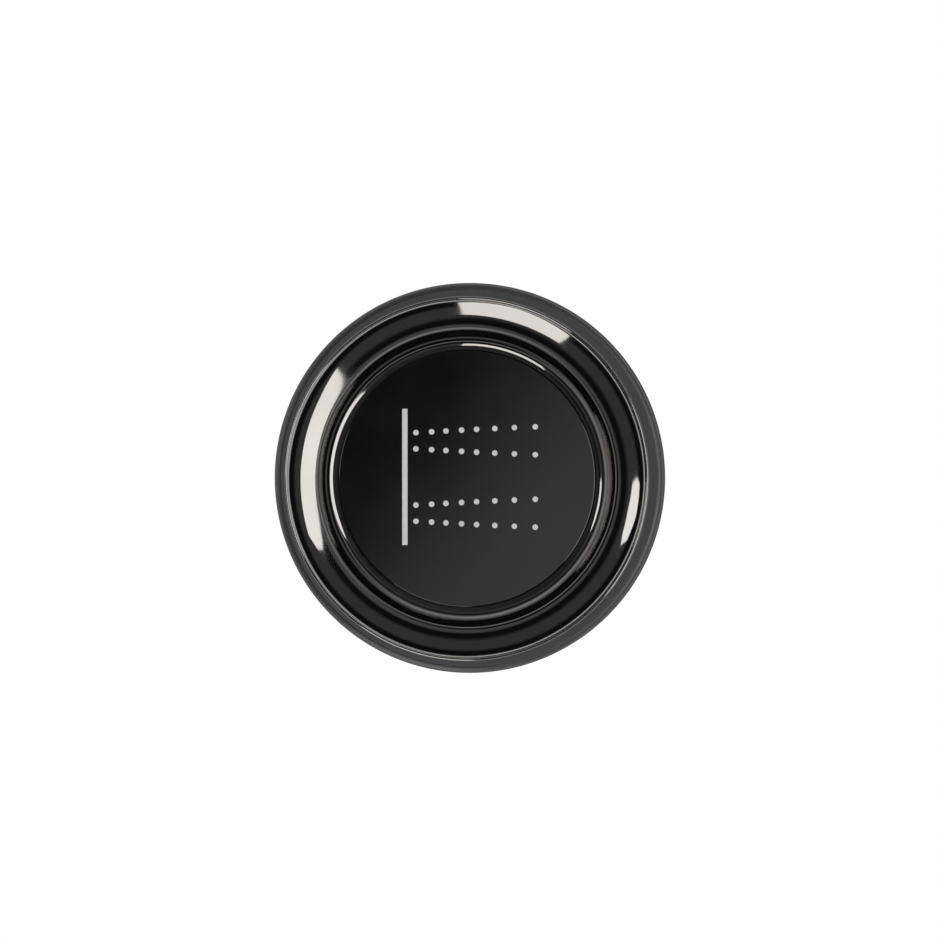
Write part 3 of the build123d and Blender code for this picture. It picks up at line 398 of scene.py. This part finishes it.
grey_plastic = finish("glass_filled_grey", (0.17, 0.18, 0.19), (0.21, 0.22, 0.23), 0.38, 0.52,
                      patch=260.0, scale=6000.0, depth=0.12)
dress(grey_plastic, "cartridge_housing", "inlet_nose", "valve_seat", "ring_carrier")
dress(acetal, "latch_guide", "guide_cover", "throttle_sleeve")
dress(rubber, "housing_o_rings", "nose_o_ring", "rod_o_ring", "spindle_o_rings", "poppet_seal")


# ---- Strainer, guide tube, screws, clips and rod ----
# Small stainless steel parts: a pressed strainer, drawn tube, countersunk screws, spring clips
# and a ground rod.

steel = finish("stainless_steel", (0.56, 0.56, 0.55), (0.50, 0.50, 0.49), 0.18, 0.30, patch=150.0,
               relief=turning_rings, scale=12000.0, depth=0.18, Metallic=1.0)
dress(steel, "inlet_strainer", "guide_tube", "ring_screws", "carrier_clip", "spindle_clip",
      "cap_screw", "push_rod", "poppet_nut")
dress(brass, "flow_spindle", "poppet")


# ---- Grip sleeve ----
# The satin black outer sleeve of the turning ring, slightly barrelled and wider at its foot.
# It is pressed on under the polished ring's lip.

foot_radius, foot, sleeve_top = reach("grip_sleeve")
lip_radius, ring_foot, lip_crest = reach("dish_ring")
top_radius = lip_radius + 0.1
waist = (foot_radius + top_radius) / 2 + 0.12
SLEEVE_BORE = 26.95
grip_sleeve = turned("satin_grip_sleeve", [
    (SLEEVE_BORE, foot, 0.1), (foot_radius, foot, 0.3, 6), (waist, (foot + sleeve_top) / 2, 4.0, 16),
    (top_radius, sleeve_top, 0.3, 6), (SLEEVE_BORE, sleeve_top, 0.05),
], satin_black)
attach(grip_sleeve, "flow_ring")
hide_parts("grip_sleeve")


# ---- Dish ring ----
# The polished black chrome ring: a flat land round the button, a shadow groove and a hollow slope
# up to a fine lip. Cast, machined, polished and plated, and screwed to the carrier from behind.

black_chrome = finish("black_chrome_plate", (0.36, 0.35, 0.34), (0.33, 0.32, 0.31), 0.045, 0.075,
                      patch=60.0, scale=2500.0, depth=0.006, Metallic=1.0)


def arc(radius, stand_off, bend, start, sweep, steps):
    """Corners along an arc of this bend radius. Its angles are in degrees from straight outwards."""
    turns = [math.radians(start + sweep * step / steps) for step in range(steps + 1)]
    return [(radius + bend * math.cos(turn), stand_off + bend * math.sin(turn)) for turn in turns]


RING_BORE, BUSH_OUTER, BUSH_FRONT = 20.4, 20.98, 15.84
SKIRT_FOOT, SKIRT_RADIUS, RING_REAR, GRIP_SEAT, GRIP_WALL = 5.7, 21.98, 11.7, 26.9, 25.7
EDGE_CURVE, EDGE_SLOPE = 1.25, 36.0
LAND_CURVE, LAND_SLOPE, GROOVE_WIDTH, GROOVE_SLOPE = 17.5, 2.0, 1.02, 66.0
DISH_CURVE, DISH_TILT, LIP_BEAD = 6.5, 47.5, 0.2
land_slope, dish_tilt = math.radians(LAND_SLOPE), math.radians(DISH_TILT)
crest_radius = RING_BORE + EDGE_CURVE * math.sin(math.radians(EDGE_SLOPE))
lip_centre = lip_radius - LIP_BEAD
floor_radius = lip_centre - (DISH_CURVE + LIP_BEAD) * math.sin(dish_tilt)
dish_floor = lip_crest - LIP_BEAD + (DISH_CURVE + LIP_BEAD) * math.cos(dish_tilt) - DISH_CURVE
land_crest = dish_floor + LAND_CURVE * (1 - math.cos(land_slope))
groove_bottom = dish_floor - GROOVE_WIDTH / 2 * math.tan(math.radians(GROOVE_SLOPE))
dish_ring = turned("black_chrome_dish_ring", [
    (BUSH_OUTER, SKIRT_FOOT, 0.1), (BUSH_OUTER, BUSH_FRONT, 0.05), (RING_BORE, BUSH_FRONT, 0.1),
    *arc(crest_radius, land_crest - EDGE_CURVE, EDGE_CURVE, 90 + EDGE_SLOPE, -EDGE_SLOPE, 12),
    *arc(crest_radius, land_crest - LAND_CURVE, LAND_CURVE, 90, -LAND_SLOPE, 12)[1:],
    (floor_radius - GROOVE_WIDTH / 2, groove_bottom),
    *arc(floor_radius, dish_floor + DISH_CURVE, DISH_CURVE, 270, DISH_TILT, 40),
    *arc(lip_centre, lip_crest - LIP_BEAD, LIP_BEAD, 90 + DISH_TILT, -90 - DISH_TILT, 14)[1:],
    (lip_radius, sleeve_top, 0.05), (GRIP_SEAT, sleeve_top, 0.05), (GRIP_SEAT, ring_foot, 0.1),
    (GRIP_WALL, ring_foot, 0.1), (GRIP_WALL, RING_REAR, 0.2), (SKIRT_RADIUS, RING_REAR, 0.2),
    (SKIRT_RADIUS, SKIRT_FOOT, 0.1),
], black_chrome, sides=256)
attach(dish_ring, "flow_ring")
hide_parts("dish_ring")


# ---- Button cap and its pad ----
# The button's moulded black body, ribbed inside, with a foam-backed adhesive pad that holds the face.

black_plastic = finish("moulded_black", (0.018, 0.018, 0.019), (0.025, 0.025, 0.026), 0.40, 0.50,
                       patch=200.0, scale=6000.0, depth=0.12)
dress(black_plastic, "button_cap", "guide_bush")
dress(foam, "face_pad")


# ---- Latch pusher and rotor ----
# Blue acetal mouldings on the rod that hold the button in and let it out, like a pen's click.

blue_acetal = finish("blue_acetal", (0.03, 0.10, 0.34), (0.025, 0.08, 0.29), 0.32, 0.42, patch=180.0,
                     scale=5000.0, depth=0.08)
dress(blue_acetal, "latch_pusher", "latch_rotor")


# ---- Button face ----
# A flat disc of glossy black lacquer with a softened edge, stuck to the cap.

face_radius, face_rear, face_front = reach("button_face")
gloss_black = finish("gloss_black_lacquer", (0.0035, 0.0035, 0.0035), (0.005, 0.005, 0.005), 0.07, 0.10,
                     patch=70.0, scale=1500.0, depth=0.004, Specular_IOR_Level=1.0)
button_face = turned("gloss_button_face", [
    (0, face_rear), (face_radius, face_rear, 0.1), (face_radius, face_front, 0.2, 10), (0, face_front),
], gloss_black)
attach(button_face, "button")
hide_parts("button_face")


# ---- Printed symbol ----
# A body-spray symbol in matt grey ink: an upright bar and two widening jets of eight dots a row.
# Printed on the face after lacquering, so it stands up by the ink's thickness.

INK, INK_SUNK = 0.02, 0.06
BAR_X, BAR_WIDTH, BAR_LENGTH = -9.55, 0.82, 20.9
SYMBOL_Z, DOT_RADIUS, DOT_FIRST_X = 0.25, 0.43, -7.85
JET_Z, ROW_Z, ROW_SPREAD = 5.55, 1.24, 0.9
DOT_GAPS = (2.4, 2.2, 2.4, 2.3, 2.8, 3.0, 3.2)
grey_ink = finish("grey_ink", (0.68, 0.68, 0.68), (0.62, 0.62, 0.62), 0.50, 0.60, patch=900.0,
                  scale=9000.0, depth=0.25)


def print_mark(add, x, z, **size):
    """One mark of ink, sunk a little into the face."""
    bpy.ops.object.select_all(action="DESELECT")
    add(location=(x * MM, -(face_front + INK / 2 - INK_SUNK / 2) * MM, z * MM), **size)
    mark = bpy.context.object
    bpy.ops.object.transform_apply(location=True, rotation=True, scale=True)
    return mark


bar = print_mark(bpy.ops.mesh.primitive_cube_add, BAR_X, SYMBOL_Z, size=1,
                 scale=(BAR_WIDTH * MM, (INK + INK_SUNK) * MM, BAR_LENGTH * MM))
marks = [bar]
for jet in (-1, 1):
    for row in (-1, 1):
        for dot in range(8):
            x = DOT_FIRST_X + sum(DOT_GAPS[:dot])
            z = SYMBOL_Z + jet * JET_Z + row * (ROW_Z + ROW_SPREAD * dot / 7)
            marks.append(print_mark(
                bpy.ops.mesh.primitive_cylinder_add, x, z, vertices=32, radius=DOT_RADIUS * MM,
                depth=(INK + INK_SUNK) * MM, rotation=(math.pi / 2, 0, 0),
            ))
printed_symbol = weld("printed_symbol", *marks)
printed_symbol.data.materials.append(grey_ink)
soften = printed_symbol.modifiers.new("soften", "BEVEL")
soften.width = 0.015 * MM
soften.segments = 2
soften.limit_method = "ANGLE"
bpy.ops.object.modifier_apply(modifier=soften.name)
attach(printed_symbol, "button")
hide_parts("pictogram")


# ---- Return spring ----
# A wound stainless compression spring between the latch guide's floor and the rotor.
# It pushes the button out. The real spring shortens as the button goes in, but this one is wound once at the
# CAD spring's length and keeps that shape.

spring_low, spring_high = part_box("return_spring")
SPRING_WIRE = 0.8
spring_reach = spring_high.x / MM - SPRING_WIRE / 2
bpy.ops.object.select_all(action="DESELECT")
bpy.ops.mesh.primitive_circle_add(vertices=14, radius=SPRING_WIRE / 2 * MM,
                                  location=(spring_reach * MM, spring_low.y + SPRING_WIRE / 2 * MM, 0))
return_spring = bpy.context.object
return_spring.name = return_spring.data.name = "steel_return_spring"
bpy.ops.object.transform_apply(location=True, rotation=True, scale=True)
wind = return_spring.modifiers.new("wind", "SCREW")
wind.axis = "Y"
wind.iterations = 5
wind.screw_offset = (spring_high.y - spring_low.y - SPRING_WIRE * MM) / wind.iterations
wind.steps = wind.render_steps = 48
bpy.ops.object.modifier_apply(modifier=wind.name)
bpy.ops.object.mode_set(mode="EDIT")
bpy.ops.mesh.select_all(action="SELECT")
bpy.ops.mesh.fill_holes(sides=0)
bpy.ops.mesh.select_all(action="SELECT")
bpy.ops.mesh.normals_make_consistent(inside=False)
bpy.ops.object.mode_set(mode="OBJECT")
bpy.ops.object.shade_smooth_by_angle(angle=math.radians(40))
return_spring.data.materials.append(steel)
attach(return_spring, "wall_side")
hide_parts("return_spring")
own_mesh(return_spring)


# ---- Studio ----
# A pale floor well below the valve, white walls at its sides and behind it and a dark front.
# Three soft boxes and a small front card are reflected in the ring and the button's face, and a
# broad front fill lights the matt and satin surfaces.

def studio_material(name, colour, strength):
    """Even light of this colour from a card."""
    made = bpy.data.materials.new(name)
    made.use_nodes = True
    nodes = made.node_tree.nodes
    nodes.clear()
    glow = nodes.new("ShaderNodeEmission")
    glow.inputs["Color"].default_value = (*colour, 1)
    glow.inputs["Strength"].default_value = strength
    back = nodes.new("ShaderNodeBsdfTransparent")
    side = nodes.new("ShaderNodeNewGeometry")
    either = nodes.new("ShaderNodeMixShader")
    end = nodes.new("ShaderNodeOutputMaterial")
    join = made.node_tree.links.new
    join(side.outputs["Backfacing"], either.inputs["Fac"])
    join(glow.outputs["Emission"], either.inputs[1])
    join(back.outputs["BSDF"], either.inputs[2])
    join(either.outputs["Shader"], end.inputs["Surface"])
    return made


FRONT, BOX_DISTANCE = 0.016, 0.6


def toward(azimuth, zenith, distance):
    """The point in this direction from the valve's front. The azimuth turns from +X to +Z, the
    zenith is measured from straight out of the wall."""
    a, z = math.radians(azimuth), math.radians(zenith)
    aside = distance * math.sin(z)
    return aside * math.cos(a), -FRONT - distance * math.cos(z), aside * math.sin(a)


def soft_box(name, corners, colour, strength):
    """A lit card whose corners lie in these directions, seen only in reflections and as light."""
    mesh = bpy.data.meshes.new(name)
    points = [toward(a, z, BOX_DISTANCE) for a, z in corners]
    mesh.from_pydata(points, [], [tuple(range(len(corners)))])
    card = bpy.data.objects.new(name, mesh)
    bpy.context.scene.collection.objects.link(card)
    mesh.materials.append(studio_material(name + "_light", colour, strength))
    if mesh.polygons[0].normal.dot(mesh.vertices[0].co) > 0:
        mesh.flip_normals()
    card.visible_camera = False


WARM = (1.0, 0.985, 0.96)
soft_box("right_soft_box", [
    (-42, 8), (-42, 60), (-30, 50), (-10, 46), (8, 47), (20, 51), (26, 42), (27, 30), (20, 14),
    (12, 7), (0, 5), (-21, 5),
], WARM, 2.2)
soft_box("lower_soft_box", [
    (-126, 41), (-127, 81), (-108, 84), (-89, 81), (-91, 41), (-108, 39),
], WARM, 2.0)
soft_box("left_soft_box", [
    (158, 53), (160, 65), (168, 71), (179, 70), (181, 61), (179, 47), (170, 42), (162, 45),
], WARM, 2.2)

# A small feathered card close to the lens, brighter at its lower right.
CARD_DISTANCE, CARD_RADIUS, NEAR_AXIS = 0.6, 0.055, 0.14
bpy.ops.object.select_all(action="DESELECT")
bpy.ops.mesh.primitive_circle_add(vertices=96, radius=CARD_RADIUS, fill_type="NGON",
                                  location=(-0.018, -CARD_DISTANCE, -0.004), rotation=(-math.pi / 2, 0, 0))
front_card = bpy.context.object
front_card.name = "front_card"
card_light = studio_material("front_card_light", (1, 1, 1), 1.0)
nodes, join = card_light.node_tree.nodes, card_light.node_tree.links.new
place = nodes.new("ShaderNodeTexCoord")
along = nodes.new("ShaderNodeVectorMath")
along.operation = "DOT_PRODUCT"
along.inputs[1].default_value = (0.75, 0.66, 0)
fade = nodes.new("ShaderNodeMapRange")
fade.interpolation_type = "SMOOTHSTEP"
fade.inputs["From Min"].default_value = -0.014
fade.inputs["From Max"].default_value = 0.018
fade.inputs["To Min"].default_value = 0.0
fade.inputs["To Max"].default_value = 0.45
from_middle = nodes.new("ShaderNodeVectorMath")
from_middle.operation = "LENGTH"
feather = nodes.new("ShaderNodeMapRange")
feather.inputs["From Min"].default_value = 0.8 * CARD_RADIUS
feather.inputs["From Max"].default_value = CARD_RADIUS
feather.inputs["To Min"].default_value = 1.0
feather.inputs["To Max"].default_value = 0.0
both = nodes.new("ShaderNodeMix")
both.inputs["A"].default_value = NEAR_AXIS
join(place.outputs["Object"], along.inputs[0])
join(place.outputs["Object"], from_middle.inputs[0])
join(along.outputs["Value"], fade.inputs["Value"])
join(from_middle.outputs["Value"], feather.inputs["Value"])
join(feather.outputs["Result"], both.inputs["Factor"])
join(fade.outputs["Result"], both.inputs["B"])
join(both.outputs["Result"], nodes["Emission"].inputs["Strength"])
front_card.data.materials.append(card_light)
front_card.visible_camera = False

# The walls' light by direction, from straight out of the wall (0) to straight into it (1).
WALL_BANDS = ((0.012, NEAR_AXIS), (0.024, 0.01), (0.065, 0.012), (0.11, 0.08), (0.27, 0.08),
              (0.335, 0.01), (0.45, 0.01), (0.48, 1.0), (0.62, 1.0), (0.75, 0.6), (0.9, 0.08))
world = bpy.data.worlds.new("studio_walls")
bpy.context.scene.world = world
world.use_nodes = True
nodes, join = world.node_tree.nodes, world.node_tree.links.new
sky = nodes["Background"]
direction = nodes.new("ShaderNodeTexCoord")
parts = nodes.new("ShaderNodeSeparateXYZ")
wall_light = nodes.new("ShaderNodeValToRGB")
wall_light.color_ramp.elements[0].position = 0.0
wall_light.color_ramp.elements[0].color = (NEAR_AXIS, NEAR_AXIS, NEAR_AXIS, 1)
for position, value in WALL_BANDS:
    stop = wall_light.color_ramp.elements.new(position)
    stop.color = (value, value, value, 1)
wall_light.color_ramp.elements[-1].color = (0.06, 0.06, 0.06, 1)
scaled = nodes.new("ShaderNodeMapRange")
scaled.inputs["From Min"].default_value = -1.0
scaled.inputs["From Max"].default_value = 1.0
seen = nodes.new("ShaderNodeLightPath")
backdrop = nodes.new("ShaderNodeBackground")
backdrop.inputs["Color"].default_value = (1, 1, 1, 1)
backdrop.inputs["Strength"].default_value = 1.0
choose = nodes.new("ShaderNodeMixShader")
join(direction.outputs["Generated"], parts.inputs["Vector"])
join(parts.outputs["Y"], scaled.inputs["Value"])
join(scaled.outputs["Result"], wall_light.inputs["Fac"])
join(wall_light.outputs["Color"], sky.inputs["Color"])
join(seen.outputs["Is Camera Ray"], choose.inputs["Fac"])
join(sky.outputs["Background"], choose.inputs[1])
join(backdrop.outputs["Background"], choose.inputs[2])
join(choose.outputs["Shader"], nodes["World Output"].inputs["Surface"])

# A broad fill from the front that lights matt and satin surfaces only.
FILL_SIZE, FILL_WATTS, FILL_TILT, FILL_TURN = 0.5, 5.5, math.radians(76), math.radians(7)
bpy.ops.object.light_add(type="AREA", location=(0.15, -1.25, 0.3), rotation=(FILL_TILT, 0, FILL_TURN))
fill = bpy.context.object
fill.name = "front_fill"
fill.data.size = FILL_SIZE
fill.data.energy = FILL_WATTS
fill.visible_glossy = False
fill.visible_camera = False

# The floor, left out of reflections so that it leaves no dark patch in the ring.
FLOOR_RADIUS, FLOOR_Z = 4.0, -0.75
bpy.ops.object.select_all(action="DESELECT")
bpy.ops.mesh.primitive_circle_add(
    vertices=128, radius=FLOOR_RADIUS, fill_type="NGON", location=(0, 0, FLOOR_Z),
)
floor = bpy.context.object
floor.name = "pale_floor"
bpy.ops.object.transform_apply(location=True, rotation=True, scale=True)
pale = bpy.data.materials.new("pale_floor_paint")
pale.use_nodes = True
paint = pale.node_tree.nodes["Principled BSDF"]
paint.inputs["Roughness"].default_value = 0.8
paint.inputs["Base Color"].default_value = (0.86, 0.86, 0.86, 1)
floor.data.materials.append(pale)
floor.visible_glossy = False


# ---- Camera ----
# A long lens, a little to the right of the axis and a little above it.

bpy.context.scene.view_settings.view_transform = "Standard"
CAMERA_DISTANCE, CAMERA_RIGHT, CAMERA_UP = 3.5, 1.7, 0.4
SHIFT_X, SHIFT_Z, SENSOR = -0.08, 1.19, 36.0
FRAME_WIDTH = 144.84 * MM
right, up = math.radians(CAMERA_RIGHT), math.radians(CAMERA_UP)
bpy.ops.object.camera_add(location=(
    CAMERA_DISTANCE * math.sin(right) * math.cos(up) + SHIFT_X * MM,
    -CAMERA_DISTANCE * math.cos(right) * math.cos(up),
    CAMERA_DISTANCE * math.sin(up) + SHIFT_Z * MM,
), rotation=(math.pi / 2 - up, 0, right))
camera = bpy.context.object
camera.name = "camera"
camera.data.sensor_width = SENSOR
camera.data.lens = SENSOR * CAMERA_DISTANCE / FRAME_WIDTH
camera.data.clip_start = 0.1
camera.data.clip_end = 20.0
bpy.context.scene.camera = camera
